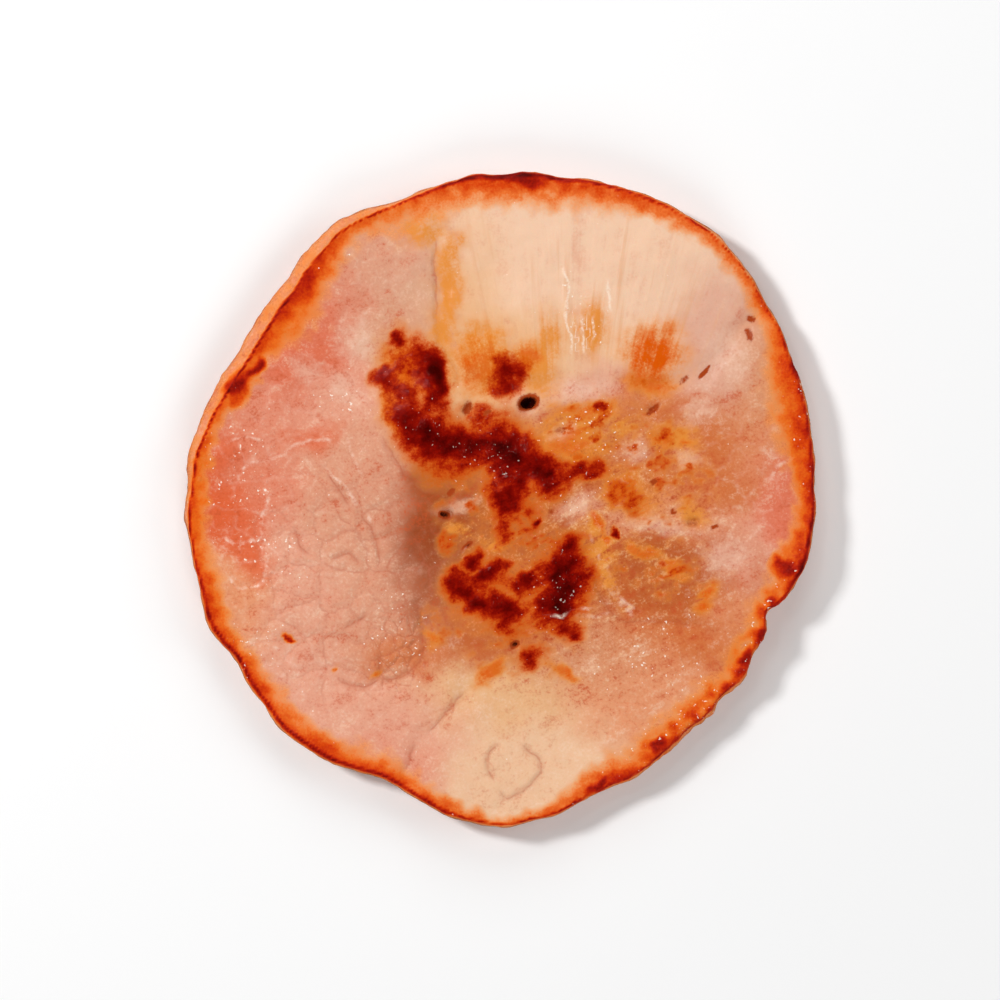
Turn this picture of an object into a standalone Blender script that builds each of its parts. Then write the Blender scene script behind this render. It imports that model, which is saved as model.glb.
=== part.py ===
"""One fried slice of canadian bacon, the round cured pork loin cut across its grain.

Metres, +Z up. X runs to the right and Y away, as the slice is seen from above. The origin is on the
surface that the slice lies on, under the middle of its bounding box.
"""

import math
import random

import bmesh
import bpy
from mathutils import Vector, noise

MM = 0.001
TAU = 2 * math.pi

# The slice: a disc a little wider one way, thickest in the middle.
MEAN_RADIUS = 41.9 * MM
THICKNESS = 4.6 * MM
THINNING_AT_RIM = 0.5 * MM

# Swells (+) and flats (-) of the outline: direction in degrees, height, spread in degrees.
OUTLINE_SWELLS = (
    (55, 3.4 * MM, 28),
    (83, 0.6 * MM, 4),
    (95, 1.1 * MM, 7),
    (120, 1.3 * MM, 7),
    (148, -1.7 * MM, 17),
    (173, 0.4 * MM, 9),
    (204, 0.8 * MM, 4),
    (211, -0.5 * MM, 6),
    (230, 0.5 * MM, 7),
    (247, -1.4 * MM, 9),
    (270, 1.8 * MM, 12),
    (318, -2.1 * MM, 28),
    (331, -0.7 * MM, 5),
    (337, -2.3 * MM, 3),
)

# The rim puckers all round, and is ragged where it fried crisp.
PUCKER_WAVES = (13, 19, 26, 33, 41)
PUCKER = 0.13 * MM
CRISP_PUCKER = 0.18 * MM
CRISP_SIDE = (322, 26)

# How far the rim curls up off the surface: direction, height, spread.
LEAST_LIFT = 0.35 * MM
RIM_LIFTS = (
    (150, 1.2 * MM, 42),
    (338, 0.9 * MM, 34),
    (250, 0.5 * MM, 25),
    (60, 0.3 * MM, 30),
)
FLAT_SHARE = 0.58

# The side wall bulges past the cut faces: how far their edges lie inside the widest line.
TOP_INSET = 0.4 * MM
WALL_SHOWS = ((135, 1.0 * MM, 18), (160, 1.2 * MM, 14), (308, 0.5 * MM, 12))
BOTTOM_INSET = 0.8 * MM
WIDEST_AT = 0.42
UPPER_WALL_RINGS = 4
LOWER_WALL_RINGS = 3
EDGE_TURN = math.radians(28)

# Relief of the upper face.
LIP_HEIGHT = 0.28 * MM
LIP_WIDTH = 1.3 * MM
SWELL_HEIGHT = 0.34 * MM
SWELL_LENGTH = 15 * MM
CRUST_HEIGHT = 0.4 * MM
CRUST_GRAIN = 2.6 * MM
SEAM_DEPTH = 0.38 * MM
SEAM_WIDTH = 1.2 * MM

# Seared patches that stand up as crust: middle x, y, half length, half width, direction in degrees.
CRUSTS = (
    (-10.9 * MM, 12.8 * MM, 9.0 * MM, 4.4 * MM, -66),
    (0.6 * MM, 15.7 * MM, 3.4 * MM, 3.0 * MM, 60),
    (-0.7 * MM, 6.8 * MM, 4.6 * MM, 3.8 * MM, -35),
    (6.5 * MM, 2.2 * MM, 6.4 * MM, 2.6 * MM, 14),
    (-2.6 * MM, -12.6 * MM, 5.4 * MM, 4.2 * MM, -40),
    (8.9 * MM, -12.2 * MM, 6.8 * MM, 3.4 * MM, 80),
)

# Seams between the muscles, as bent lines through these points in millimetres.
SEAMS = (
    ((-8.7, 35), (-8, 20), (-5.8, 15.5), (4, 15), (13, 15.5), (20, 14.5), (27.3, 17), (33, 24), (37, 27)),
    ((-10.6, -13.6), (-10.3, -18.7), (-12.2, -23.1), (-17.3, -24.4), (-22.4, -24.4), (-28, -19.3)),
    ((12, -7.2), (14, -11), (15.9, -14.2), (21.6, -15.8), (25.4, -16.5), (28, -18)),
    ((-4.8, -25.7), (-9.6, -30.8), (-12.2, -34.6), (-12.8, -38)),
)

# Small holes and clefts in the upper face: x, y, half length, half width, direction, depth.
PITS = (
    (3.4 * MM, 12.6 * MM, 1.3 * MM, 0.95 * MM, 15, 1.9 * MM),
    (-4.5 * MM, 11.9 * MM, 1.0 * MM, 0.7 * MM, 75, 0.9 * MM),
    (-7.1 * MM, -2.1 * MM, 0.95 * MM, 0.8 * MM, -20, 1.0 * MM),
    (25.4 * MM, -3.1 * MM, 1.15 * MM, 0.85 * MM, 10, 0.8 * MM),
    (20.0 * MM, 11.9 * MM, 1.1 * MM, 0.55 * MM, 40, 0.8 * MM),
    (1.8 * MM, -19.3 * MM, 0.85 * MM, 0.6 * MM, 50, 0.8 * MM),
)
PIT_SEGMENTS = 12
PIT_RINGS = 8

# Rings of points on the upper face: each count of segments is used out to its share of the radius.
TOP_RINGS = 28
SEGMENTS_WITHIN = ((0.13, 24), (0.29, 48), (0.6, 96), (1.01, 192))
UNDERSIDE_SEGMENTS = 96
UNDERSIDE_RINGS = 4

LEAN_COLOUR = (0.74, 0.35, 0.22, 1)
LEAN_ROUGHNESS = 0.35


def around(angle, direction, spread):
    """1 in that direction, falling off to nothing over a few times the spread. Both are in degrees."""
    gap = (math.degrees(angle) - direction + 180) % 360 - 180
    return math.exp(-((gap / spread) ** 2))


def sum_around(angle, rises):
    """What a list of (direction, height, spread) adds up to in this direction."""
    return sum(height * around(angle, direction, spread) for direction, height, spread in rises)


def smooth_step(low, high, value):
    share = min(1, max(0, (value - low) / (high - low)))
    return share * share * (3 - 2 * share)


def pucker_phases():
    draw = random.Random(11)
    return [draw.uniform(0, TAU) for _ in PUCKER_WAVES]


PHASES = pucker_phases()


def pucker(angle):
    """The rim's small in and out, deeper on the crisp side."""
    waves = sum(math.sin(n * angle + phase) for n, phase in zip(PUCKER_WAVES, PHASES))
    return waves / 2 * (PUCKER + CRISP_PUCKER * around(angle, *CRISP_SIDE))


def outline_radius(angle):
    """Distance of the widest line from the middle."""
    return MEAN_RADIUS + sum_around(angle, OUTLINE_SWELLS) + pucker(angle)


def top_edge_radius(angle):
    return outline_radius(angle) - TOP_INSET - sum_around(angle, WALL_SHOWS)


def underside_height(angle, share):
    """Height of the lower face at a share of its radius: flat in the middle, curling up at the rim."""
    lift = LEAST_LIFT + sum_around(angle, RIM_LIFTS)
    return lift * smooth_step(FLAT_SHARE, 1.05, share)


def distance_to_line(x, y, points):
    """Distance from (x, y) to a bent line through points given in millimetres."""
    here = Vector((x, y)) / MM
    gaps = []
    for start, end in zip(points, points[1:]):
        first, run = Vector(start), Vector(end) - Vector(start)
        along = min(1, max(0, (here - first).dot(run) / run.length_squared))
        gaps.append((here - first - run * along).length)
    return min(gaps) * MM


def inside_oval(x, y, middle_x, middle_y, half_length, half_width, direction):
    """1 in the middle of an oval patch, about a third at its edge, and nothing well outside."""
    turn = math.radians(direction)
    dx, dy = x - middle_x, y - middle_y
    along = (dx * math.cos(turn) + dy * math.sin(turn)) / half_length
    across = (dy * math.cos(turn) - dx * math.sin(turn)) / half_width
    return math.exp(-(along * along + across * across))


def top_relief(x, y):
    """How far the upper face stands above or below a plain one."""
    broad = noise.noise(Vector((x, y, 0)) / SWELL_LENGTH) * 2 * SWELL_HEIGHT
    seams = sum(math.exp(-((distance_to_line(x, y, seam) / SEAM_WIDTH) ** 2)) for seam in SEAMS)
    crust = min(1, sum(inside_oval(x, y, *patch) for patch in CRUSTS))
    crags = noise.noise(Vector((x, y, MEAN_RADIUS)) / CRUST_GRAIN)
    return broad - SEAM_DEPTH * min(1, seams) + CRUST_HEIGHT * crust * (0.4 + crags)


def top_point(angle, share):
    """A point of the upper face, at a share of the way from the middle to its edge."""
    edge = top_edge_radius(angle)
    x, y = edge * share * math.cos(angle), edge * share * math.sin(angle)
    body = THICKNESS - THINNING_AT_RIM * share * share
    lip = LIP_HEIGHT * math.exp(-((edge * (1 - share) / LIP_WIDTH) ** 2))
    return Vector((x, y, underside_height(angle, share) + body + top_relief(x, y) + lip))


def underside_point(angle, share):
    radius = (outline_radius(angle) - BOTTOM_INSET) * share
    return Vector((radius * math.cos(angle), radius * math.sin(angle), underside_height(angle, share)))


def wall_point(angle, edge, turned):
    """A point of the side wall between the widest line and a cut face's edge point.

    turned is 1 at the widest line and 0 at the edge, along a part of an ellipse."""
    widest = outline_radius(angle)
    low, high = underside_point(angle, 1).z, top_point(angle, 1).z
    middle = low + (high - low) * WIDEST_AT
    swing = EDGE_TURN + (math.pi / 2 - EDGE_TURN) * turned
    inward = (1 - math.sin(swing)) / (1 - math.sin(EDGE_TURN))
    rise = math.cos(swing) / math.cos(EDGE_TURN)
    radius = widest - (widest - edge.to_2d().length) * inward
    return Vector((radius * math.cos(angle), radius * math.sin(angle), middle + (edge.z - middle) * rise))


def ring(mesh, count, point_at):
    """A ring of vertices, where point_at gives the point for an angle."""
    return [mesh.verts.new(point_at(TAU * i / count)) for i in range(count)]


def join(mesh, inner, outer):
    """Faces between two rings seen from above. One ring may have twice the points of the other."""
    if len(inner) == len(outer):
        for i in range(len(inner)):
            mesh.faces.new((inner[i - 1], outer[i - 1], outer[i], inner[i]))
        return
    coarse, fine = sorted((inner, outer), key=len)
    for i in range(len(coarse)):
        here, after = coarse[i], coarse[(i + 1) % len(coarse)]
        first, middle, last = fine[2 * i], fine[2 * i + 1], fine[(2 * i + 2) % len(fine)]
        corners = ((here, first, middle), (here, middle, after), (after, middle, last))
        for corner in corners:
            mesh.faces.new(corner if coarse is inner else corner[::-1])


def close_middle(mesh, first_ring, middle):
    centre = mesh.verts.new(middle)
    for i in range(len(first_ring)):
        mesh.faces.new((centre, first_ring[i - 1], first_ring[i]))


def build_upper_face(mesh):
    """Rings from the middle out to the edge. Returns the last one."""
    last = None
    for i in range(1, TOP_RINGS + 1):
        share = i / TOP_RINGS
        count = next(n for within, n in SEGMENTS_WITHIN if share <= within)
        made = ring(mesh, count, lambda angle: top_point(angle, share))
        if last is None:
            close_middle(mesh, made, top_point(0, 0))
        else:
            join(mesh, last, made)
        last = made
    return last


def build_wall(mesh, top_ring):
    """Rings down the wall from the upper face's edge. Returns the lower face's edge."""
    turns = [(top_point, 1, i / UPPER_WALL_RINGS) for i in range(1, UPPER_WALL_RINGS + 1)]
    turns += [(underside_point, 1, 1 - i / LOWER_WALL_RINGS) for i in range(1, LOWER_WALL_RINGS + 1)]
    last = top_ring
    for edge_at, share, turned in turns:
        made = ring(
            mesh, len(top_ring), lambda angle: wall_point(angle, edge_at(angle, share), turned)
        )
        join(mesh, last, made)
        last = made
    return last


def build_underside(mesh, edge_ring):
    """Rings in from the lower edge to the flat that the slice rests on, which is one face."""
    last = edge_ring
    for i in range(1, UNDERSIDE_RINGS + 1):
        share = 1 - (1 - FLAT_SHARE) * i / UNDERSIDE_RINGS
        made = ring(mesh, UNDERSIDE_SEGMENTS, lambda angle: underside_point(angle, share))
        join(mesh, last, made)
        last = made
    mesh.faces.new(last[::-1])


def make_material():
    material = bpy.data.materials.new("fried_cured_pork")
    material.use_nodes = True
    shader = material.node_tree.nodes["Principled BSDF"]
    shader.inputs["Base Color"].default_value = LEAN_COLOUR
    shader.inputs["Roughness"].default_value = LEAN_ROUGHNESS
    shader.inputs["Metallic"].default_value = 0
    return material


def make_slice():
    mesh = bmesh.new()
    top_ring = build_upper_face(mesh)
    bottom_ring = build_wall(mesh, top_ring)
    build_underside(mesh, bottom_ring)
    middle = [
        (min(v.co[axis] for v in mesh.verts) + max(v.co[axis] for v in mesh.verts)) / 2
        for axis in (0, 1)
    ]
    data = bpy.data.meshes.new("bacon_slice")
    mesh.to_mesh(data)
    mesh.free()
    data.shade_smooth()
    data.set_sharp_from_angle(angle=math.radians(40))
    data.materials.append(make_material())
    made = bpy.data.objects.new("bacon_slice", data)
    made.location = (-middle[0], -middle[1], 0)
    bpy.context.scene.collection.objects.link(made)
    return made


def make_pit(number, pit, parent):
    """A blunt oval cutter whose lower end is the bottom of a hole in the upper face."""
    x, y, half_length, half_width, direction, depth = pit
    mesh = bmesh.new()
    bmesh.ops.create_uvsphere(mesh, u_segments=PIT_SEGMENTS, v_segments=PIT_RINGS, radius=1)
    bmesh.ops.scale(mesh, vec=(half_length, half_width, depth), verts=mesh.verts)
    data = bpy.data.meshes.new(f"pit_cutter_{number}")
    mesh.to_mesh(data)
    mesh.free()
    surface = THICKNESS + top_relief(x, y)
    cutter = bpy.data.objects.new(data.name, data)
    cutter.location = (x, y, surface)
    cutter.rotation_euler.z = math.radians(direction)
    cutter.parent = parent
    cutter.hide_render = True
    cutter.display_type = "WIRE"
    return cutter


def cut_pits(made):
    cutters = bpy.data.collections.new("pit_cutters")
    bpy.context.scene.collection.children.link(cutters)
    for number, pit in enumerate(PITS):
        cutters.objects.link(make_pit(number, pit, made))
    cut = made.modifiers.new("pits", "BOOLEAN")
    cut.operation = "DIFFERENCE"
    cut.operand_type = "COLLECTION"
    cut.collection = cutters
    cut.solver = "EXACT"


for old in list(bpy.data.objects):
    bpy.data.objects.remove(old)
cut_pits(make_slice())
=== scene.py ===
"""A fried slice of canadian bacon, lying on a pale table and seen from straight above."""

import math

import bpy
import numpy as np
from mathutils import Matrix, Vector, noise


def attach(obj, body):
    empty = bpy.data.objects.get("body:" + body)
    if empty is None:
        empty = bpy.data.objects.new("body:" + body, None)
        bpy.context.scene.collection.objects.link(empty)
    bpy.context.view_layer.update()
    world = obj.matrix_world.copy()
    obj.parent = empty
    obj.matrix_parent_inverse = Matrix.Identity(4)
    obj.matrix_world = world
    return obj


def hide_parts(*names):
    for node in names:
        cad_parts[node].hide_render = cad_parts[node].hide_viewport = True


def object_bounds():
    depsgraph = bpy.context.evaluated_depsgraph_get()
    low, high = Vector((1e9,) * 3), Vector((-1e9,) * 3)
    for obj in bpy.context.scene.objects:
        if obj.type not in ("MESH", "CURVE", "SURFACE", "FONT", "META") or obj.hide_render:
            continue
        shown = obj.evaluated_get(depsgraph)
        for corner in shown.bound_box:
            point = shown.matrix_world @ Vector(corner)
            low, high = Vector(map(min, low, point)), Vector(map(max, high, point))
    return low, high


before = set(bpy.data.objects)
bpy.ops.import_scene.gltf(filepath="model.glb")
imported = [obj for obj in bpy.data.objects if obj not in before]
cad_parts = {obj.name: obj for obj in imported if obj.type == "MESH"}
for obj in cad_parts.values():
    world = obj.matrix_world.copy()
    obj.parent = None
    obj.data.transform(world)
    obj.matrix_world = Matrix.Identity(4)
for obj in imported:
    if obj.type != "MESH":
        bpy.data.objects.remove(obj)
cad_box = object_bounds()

# The slice of meat
# A round of cured pork loin, cut across its grain and fried in a pan. It is one piece of lean muscle, so one
# closed mesh of even small faces stands for it, on the shape of the solid that it replaces.

MM = 0.001
FACE_SIZE = 0.372
# How far up a normal points, as a share: below the first it is on the wall, above the second on a face.
WALL_TO_FACE = (0.45, 0.8)


def even_copy(node, name, face_size):
    """A closed mesh of small even faces with the shape of a CAD node. The size is in millimetres."""
    piece = bpy.data.objects.new(name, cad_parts[node].data.copy())
    bpy.context.scene.collection.objects.link(piece)
    remesh = piece.modifiers.new("even_faces", "REMESH")
    remesh.mode = "VOXEL"
    remesh.voxel_size = face_size * MM
    soften = piece.modifiers.new("soften", "SMOOTH")
    soften.factor = 0.5
    soften.iterations = 5
    graph = bpy.context.evaluated_depsgraph_get()
    mesh = bpy.data.meshes.new_from_object(piece.evaluated_get(graph))
    piece.modifiers.clear()
    piece.data = mesh
    return piece


def vertex_places(mesh):
    """The places of a mesh's vertices in millimetres."""
    flat = np.empty(len(mesh.vertices) * 3)
    mesh.vertices.foreach_get("co", flat)
    return flat.reshape(-1, 3) / MM


def vertex_normals(mesh):
    flat = np.empty(len(mesh.vertices) * 3)
    mesh.vertex_normals.foreach_get("vector", flat)
    return flat.reshape(-1, 3)


def smooth_step(low, high, values):
    share = np.clip((values - low) / (high - low), 0, 1)
    return share * share * (3 - 2 * share)


def noise_at(places, size, seed=0):
    """Smooth noise from about -1 to 1, with swells of that size in millimetres."""
    shift = Vector((seed * 17.3, seed * -9.1, seed * 5.7))
    scaled = places / np.asarray(size)
    return np.array([noise.noise(Vector(place) + shift) for place in scaled])


def uneven(level, places, *noises):
    """A level with noises on it, each with its amount, the size of its swells in millimetres and its seed."""
    return level + sum(amount * noise_at(places, size, seed) for amount, size, seed in noises)


fried_slice = even_copy("bacon_slice", "fried_slice", FACE_SIZE)
places = vertex_places(fried_slice.data)
normals = vertex_normals(fried_slice.data)
facing_up = smooth_step(*WALL_TO_FACE, normals[:, 2])
facing_down = smooth_step(*WALL_TO_FACE, -normals[:, 2])
side_wall = 1 - facing_up - facing_down

# The edges of its faces
# The cut faces end in a thin skin, the outside of the loin, and it curls up a little in the pan. The two
# edges are read off the mesh: in each direction, the farthest place that faces up, and the farthest down.

DIRECTIONS = 360


def edge_table(places, on_face):
    """For each degree round the slice, how far out and how high the edge of that face lies."""
    turns = (np.degrees(np.arctan2(places[:, 1], places[:, 0])) % 360).astype(int)
    reach = np.hypot(places[:, 0], places[:, 1])
    order = np.argsort(reach[on_face])
    table = np.zeros((DIRECTIONS, 2))
    table[turns[on_face][order]] = np.column_stack([reach, places[:, 2]])[on_face][order]
    return np.mean([np.roll(table, shift, axis=0) for shift in (-1, 0, 1)], axis=0)


def at_direction(table, degrees):
    """Reads a table with a row for each degree between its rows too."""
    rows = np.arange(DIRECTIONS) + 0.5
    return np.stack([np.interp(degrees, rows, column, period=360) for column in table.T], axis=1)


def around(degrees, direction, spread):
    """1 in that direction, falling off to nothing over a few times the spread."""
    gap = (degrees - direction + 180) % 360 - 180
    return np.exp(-((gap / spread) ** 2))


degrees = np.degrees(np.arctan2(places[:, 1], places[:, 0])) % 360
reach = np.hypot(places[:, 0], places[:, 1])
top_edge = at_direction(edge_table(places, facing_up > 0.9), degrees)
under_edge = at_direction(edge_table(places, facing_down > 0.9), degrees)
outline = at_direction(edge_table(places, facing_up > -1), degrees)
top_share = smooth_step(-0.2, 0.35, normals[:, 2])
drop = np.clip(top_edge[:, 1] - places[:, 2] - 0.3, 0, 9) * (1 - facing_up)
from_outline = outline[:, 0] - reach
from_under_edge = under_edge[:, 0] - reach

# Browning
# The pan scorched the face in patches, from stains through red-brown to nearly black, and toasted the skin
# to orange and dark red. A number on each vertex says how far it went: 0 is raw-looking and 1 is burnt.

# Patches: middle x, y, half length, half width, direction in degrees. All lengths are in millimetres.
# Nearly black, red-brown and brown patches come first.
BURNT = (
    (-8.4, 16.4, 4.2, 1.8, -67),
    (-9.3, 8.2, 4.2, 2.3, -48),
    (-5.4, 7.0, 3.0, 2.0, -10),
    (0.8, 6.7, 4.3, 3.1, -15),
    (6.0, 3.1, 2.3, 1.7, -20),
    (8.5, -10.6, 3.3, 2.4, -64),
    (7.2, -13.9, 2.9, 1.9, 10),
)
SEARED = (
    (-13.9, 21.3, 1.3, 1.1, 0),
    (-15.3, 16.2, 2.1, 1.9, 60),
    (-11.8, 10.6, 4.6, 2.2, -58),
    (-9.4, 16.2, 5.6, 2.8, -68),
    (-8.9, 7.8, 6.6, 4.2, -42),
    (-4.2, 7.3, 4.5, 3.2, -10),
    (0.9, 6.3, 5.7, 4.4, -15),
    (0.9, 16.5, 3.5, 3.2, 40),
    (1.0, 2.2, 3.6, 3.4, 0),
    (1.6, -0.6, 2.6, 2.6, 20),
    (6.0, 3.3, 3.8, 2.8, -20),
    (11.2, 3.7, 3.1, 1.8, 15),
    (5.0, -3.1, 0.9, 0.7, 60),
    (-3.5, -7.8, 1.9, 1.3, 20),
    (-5.5, -11.0, 2.4, 2.5, 60),
    (-1.0, -9.3, 2.8, 1.5, 10),
    (-3.4, -13.0, 2.4, 2.0, -50),
    (-0.1, -14.5, 4.3, 2.4, -20),
    (3.4, -11.4, 2.1, 1.7, 0),
    (9.4, -6.6, 2.0, 2.6, 0),
    (8.6, -10.0, 4.7, 4.5, -60),
    (7.3, -14.0, 3.7, 2.8, 10),
    (9.2, -17.2, 2.4, 1.8, -40),
    (3.8, -20.8, 1.5, 1.7, 0),
    (12.9, 12.0, 1.3, 1.1, 0),
    (15.3, -4.6, 0.7, 0.7, 0),
)
STAINED = (
    (-1.8, 11.0, 3.4, 1.9, 0),
    (16.5, 0.6, 3.2, 2.3, -35),
    (-12.6, 18.6, 4.3, 3.0, -62),
    (-13.2, 14.4, 4.6, 3.0, -66),
    (-11.2, 11.2, 6.4, 3.7, -55),
    (-3.8, 8.4, 4.5, 3.5, 0),
    (1.0, 16.8, 3.8, 3.5, 0),
    (1.6, 5.6, 5.9, 4.5, -15),
    (2.0, -2.6, 4.2, 4.2, -20),
    (10.8, 3.8, 3.5, 2.1, 10),
    (21.9, 8.1, 1.4, 1.4, 0),
    (-2.0, -11.4, 5.4, 4.5, -30),
    (8.2, -11.6, 4.7, 5.2, 80),
    (1.0, -16.6, 3.7, 2.3, -20),
    (4.0, -21.0, 2.3, 1.8, 20),
    (-7.2, -5.4, 1.2, 1.8, -10),
)
# Juices that cooked to orange, small brown freckles, and yellow fat.
ORANGE = (
    (-12.8, 17.4, 3.8, 2.8, -60),
    (-13.4, 11.6, 4.2, 1.8, -62),
    (20.4, 19.4, 4.0, 3.8, 0),
    (19.6, 15.7, 3.4, 1.4, 0),
    (-2.0, 17.8, 3.8, 3.8, 0),
    (3.6, 18.8, 1.8, 2.4, 0),
    (9.6, 7.4, 3.6, 2.1, 0),
    (11.4, 11.8, 4.0, 1.3, 0),
    (17.4, 0.4, 3.6, 2.4, -35),
    (21.8, 8.0, 1.5, 1.7, 0),
    (25.0, 7.6, 0.7, 0.7, 0),
    (-8.8, -18.2, 1.0, 1.0, 0),
    (27.4, -13.0, 1.9, 1.1, 50),
    (8.2, -22.6, 2.4, 0.8, -30),
    (-1.0, -22.8, 2.4, 1.0, 30),
    (-21.9, -22.6, 0.5, 0.4, 0),
    (-16.4, -22.8, 0.6, 0.4, 20),
    (13.2, -4.0, 0.9, 2.6, 20),
    (18.5, -6.5, 2.4, 0.9, -20),
    (23.0, -9.0, 2.0, 0.8, -30),
)
FRECKLED = (
    (14.0, 8.5, 8.0, 6.0, 0),
    (22.0, 3.5, 7.5, 8.5, 0),
    (21.5, -9.0, 8.0, 4.2, -10),
    (3.0, -5.5, 8.0, 3.2, 0),
    (3.0, -20.0, 8.0, 4.4, 0),
    (-8.0, -17.0, 3.4, 3.0, -40),
    (-5.0, 0.5, 4.0, 4.5, 0),
    (19.8, 15.6, 4.0, 1.4, 0),
    (10.0, 9.0, 6.0, 4.0, 0),
    (-1.0, 11.0, 4.5, 2.4, -20),
)
GOLDEN = (
    (-6.9, 29.2, 1.8, 5.4, 0),
    (-6.9, 28.0, 1.5, 4.4, 0),
    (-6.2, 33.0, 1.2, 2.0, 0),
    (-7.5, 22.5, 2.2, 3.6, 0),
    (-2.4, 20.4, 3.6, 3.2, 0),
    (5.4, 16.6, 2.2, 3.4, 10),
    (6.8, 21.4, 3.2, 1.8, 90),
    (12.0, 22.8, 3.4, 2.2, 90),
    (9.0, 9.5, 4.2, 2.6, 0),
    (25.5, -1.4, 2.4, 1.5, -30),
    (12.6, -5.6, 1.8, 3.8, 25),
    (-5.0, -4.4, 2.4, 0.9, -30),
    (0.0, -5.6, 2.0, 1.0, 10),
    (11.0, 7.2, 3.4, 1.6, 20),
    (24.6, 7.4, 1.4, 3.0, 0),
    (13.8, -8.6, 4.6, 0.9, -68),
    (-10.4, 35.6, 3.2, 1.8, 20),
    (16.5, 9.8, 2.0, 1.6, 0),
)
# Pale films, places where a fine pale web shows, wet places where droplets and painted glints gather, and
# burnt spots on the skin.
FILMY = (
    (2.3, 13.7, 1.5, 0.6, 25),
    (10.5, 15.2, 3.6, 1.0, -3),
    (10.6, -1.0, 2.6, 1.5, 10),
    (26.2, 12.0, 2.4, 1.6, 30),
    (17.6, 6.6, 2.0, 1.5, 20),
    (24.9, 5.4, 1.4, 1.1, 0),
    (21.0, -3.4, 4.6, 1.1, -12),
    (29.8, -7.8, 2.4, 2.2, 0),
    (-21.0, 15.2, 3.0, 1.9, -40),
    (-26.0, 17.6, 2.4, 1.6, -30),
    (-5.4, -0.6, 2.6, 0.9, 20),
    (-19.0, 21.0, 2.2, 3.4, 20),
    (8.1, 9.3, 1.3, 1.0, 0),
    (30.5, 19.0, 2.4, 3.4, 20),
)
WEBBY = (
    (-33.0, 0.0, 8.0, 14.0, 0),
    (-25.0, 14.0, 7.0, 6.0, 0),
    (-17.0, 25.0, 5.0, 6.0, 0),
    (33.0, 0.0, 6.0, 9.0, 0),
    (-27.0, -20.0, 7.0, 6.0, 0),
)
WET_AND_GLINTS = (
    (-34.0, 3.0, 6.0, 9.0, 0),
    (-21.0, 14.0, 5.0, 3.0, 0),
    (-14.0, -18.5, 5.5, 6.0, 0),
    (-33.0, -19.0, 5.0, 4.0, 0),
    (-5.0, 8.0, 9.0, 4.5, -40),
    (8.0, -11.0, 5.0, 7.0, 0),
    (24.0, -29.0, 14.0, 3.0, 42),
    (35.0, -15.0, 7.0, 3.0, 65),
    (40.5, 12.0, 2.0, 12.0, 0),
    (11.0, 24.0, 3.0, 6.0, 0),
    (9.0, 1.0, 5.0, 4.0, 0),
    (14.0, 8.0, 7.0, 5.0, 0),
    (22.0, -20.0, 9.0, 5.0, 30),
    (-29.0, -8.0, 6.0, 6.0, 0),
)
SPOTS = (
    (-34.2, 15.3, 2.9, 1.6, 60),
    (-32.3, 17.6, 1.4, 0.9, 60),
    (2.5, 42.6, 5.5, 1.5, -3),
    (37.9, -9.3, 1.9, 1.6, 40),
    (35.8, -13.6, 0.9, 0.8, 70),
    (34.6, -18.2, 1.6, 1.1, 70),
    (31.8, -21.0, 2.2, 1.1, 60),
    (21.5, -32.6, 2.6, 1.0, 38),
    (13.0, -37.6, 2.2, 0.9, 25),
    (39.6, 17.4, 1.0, 2.6, 10),
    (-27.6, -18.2, 0.8, 0.4, -20),
)

# The skin round the face, by direction: how far in from the outline the line along its edge lies, half the
# width of that line and how dark it is, how far in from it the toasting reaches and how brown it is.
SKIN = (
    (0, 0.6, 0.4, 0.84, 1.8, 0.63),
    (8, 0.6, 0.35, 0.8, 2.8, 0.66),
    (16, 0.6, 0.35, 0.78, 4.0, 0.66),
    (24, 0.6, 0.35, 0.76, 3.4, 0.63),
    (32, 0.6, 0.3, 0.72, 2.0, 0.55),
    (42, 0.6, 0.2, 0.66, 1.7, 0.47),
    (52, 0.6, 0.2, 0.7, 1.7, 0.51),
    (62, 0.6, 0.3, 0.8, 2.3, 0.55),
    (72, 0.6, 0.3, 0.84, 3.2, 0.58),
    (82, 0.6, 0.5, 0.95, 3.6, 0.58),
    (92, 0.6, 0.5, 0.95, 3.6, 0.6),
    (100, 0.6, 0.35, 0.86, 3.4, 0.55),
    (108, 0.7, 0.25, 0.78, 3.6, 0.47),
    (118, 1.6, 0.22, 0.76, 2.0, 0.46),
    (127, 2.0, 0.22, 0.8, 3.0, 0.66),
    (135, 2.1, 0.3, 0.84, 4.0, 0.72),
    (142, 2.1, 0.3, 0.84, 3.4, 0.64),
    (150, 2.0, 0.25, 0.84, 2.0, 0.54),
    (160, 2.0, 0.25, 0.8, 1.6, 0.5),
    (170, 1.5, 0.22, 0.82, 1.6, 0.5),
    (180, 0.9, 0.25, 0.84, 2.2, 0.54),
    (190, 0.5, 0.25, 0.8, 2.4, 0.54),
    (200, 0.75, 0.45, 0.82, 2.2, 0.62),
    (210, 0.75, 0.45, 0.9, 1.8, 0.62),
    (220, 0.75, 0.45, 0.84, 2.1, 0.58),
    (230, 0.75, 0.45, 0.92, 2.3, 0.62),
    (240, 0.75, 0.45, 0.92, 2.5, 0.64),
    (250, 0.75, 0.45, 0.84, 2.1, 0.61),
    (260, 0.75, 0.45, 0.82, 1.8, 0.58),
    (272, 0.6, 0.2, 0.7, 1.1, 0.48),
    (284, 0.6, 0.3, 0.78, 2.0, 0.57),
    (294, 0.6, 0.3, 0.74, 3.4, 0.6),
    (304, 0.6, 0.3, 0.72, 3.2, 0.58),
    (314, 0.6, 0.3, 0.7, 3.2, 0.56),
    (324, 0.6, 0.3, 0.7, 2.6, 0.54),
    (333, 0.6, 0.3, 0.68, 2.2, 0.52),
    (341, 0.6, 0.45, 0.84, 2.6, 0.59),
    (350, 0.6, 0.45, 0.92, 2.8, 0.67),
)


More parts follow.
